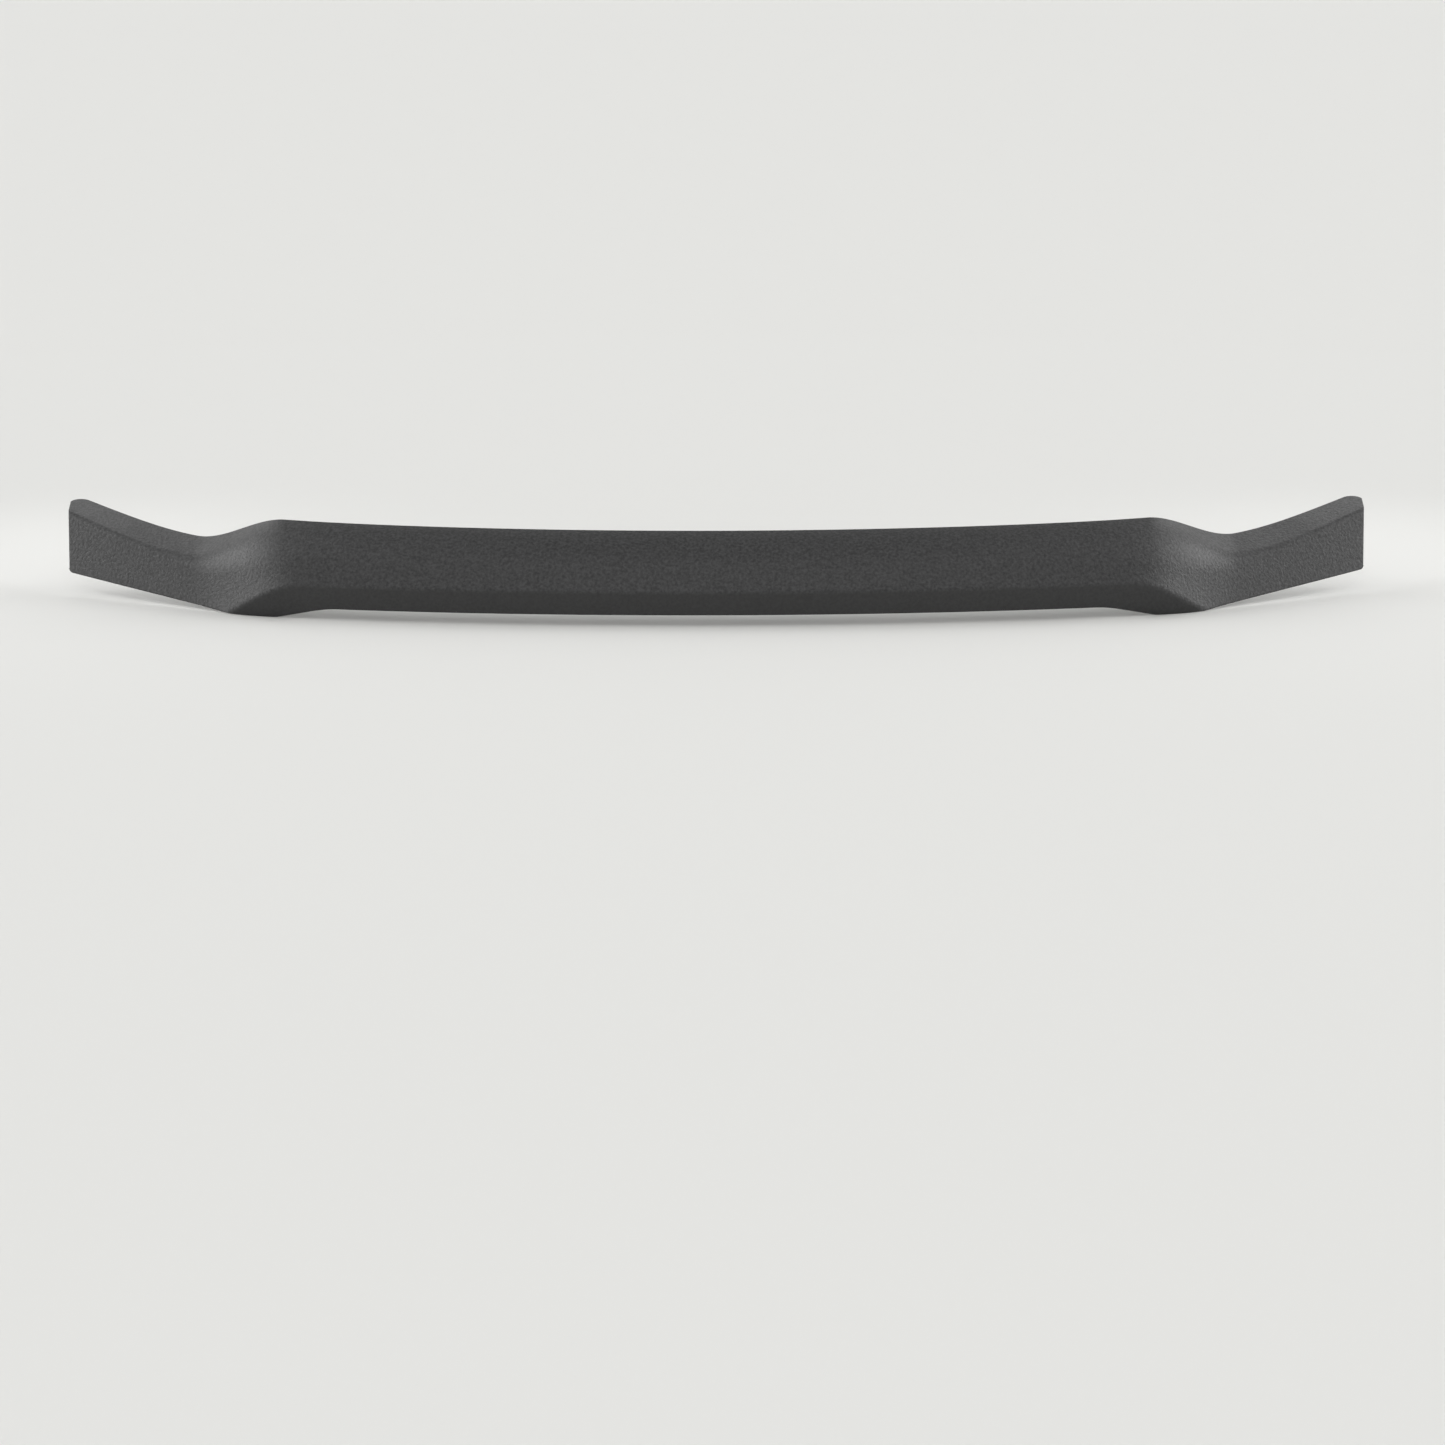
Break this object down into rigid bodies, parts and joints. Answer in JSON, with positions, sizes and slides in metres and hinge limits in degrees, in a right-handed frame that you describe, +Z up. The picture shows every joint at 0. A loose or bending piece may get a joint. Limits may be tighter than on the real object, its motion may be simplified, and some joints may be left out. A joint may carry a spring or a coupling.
{
  "type": "hood bug deflector",
  "caption": "Long low-profile hood bug deflector: a textured matte black moulding that wraps the front edge of a hood, bonded on with foam tape.",
  "frame": {"origin": "middle of the adhesive face of the upper centre tape strip, on the centreline, where the deflector is held to the hood", "axes": "+X across the hood, to the right as seen from in front; +Y rearward; +Z up"},
  "size_m": [1.6772, 0.2724, 0.1115],
  "materials": {
    "textured_plastic": "fine-grained matte black thermoformed plastic",
    "foam_tape": "dark grey closed-cell acrylic foam"
  },
  "bodies": {
    "root": {"deflector_skin": "textured_plastic", "tape_upper_centre": "foam_tape", "tape_upper_left": "foam_tape", "tape_upper_wing_left": "foam_tape", "tape_lower_left": "foam_tape", "tape_lower_wing_left": "foam_tape", "tape_upper_right": "foam_tape", "tape_upper_wing_right": "foam_tape", "tape_lower_right": "foam_tape", "tape_lower_wing_right": "foam_tape"}
  },
  "joints": []
}
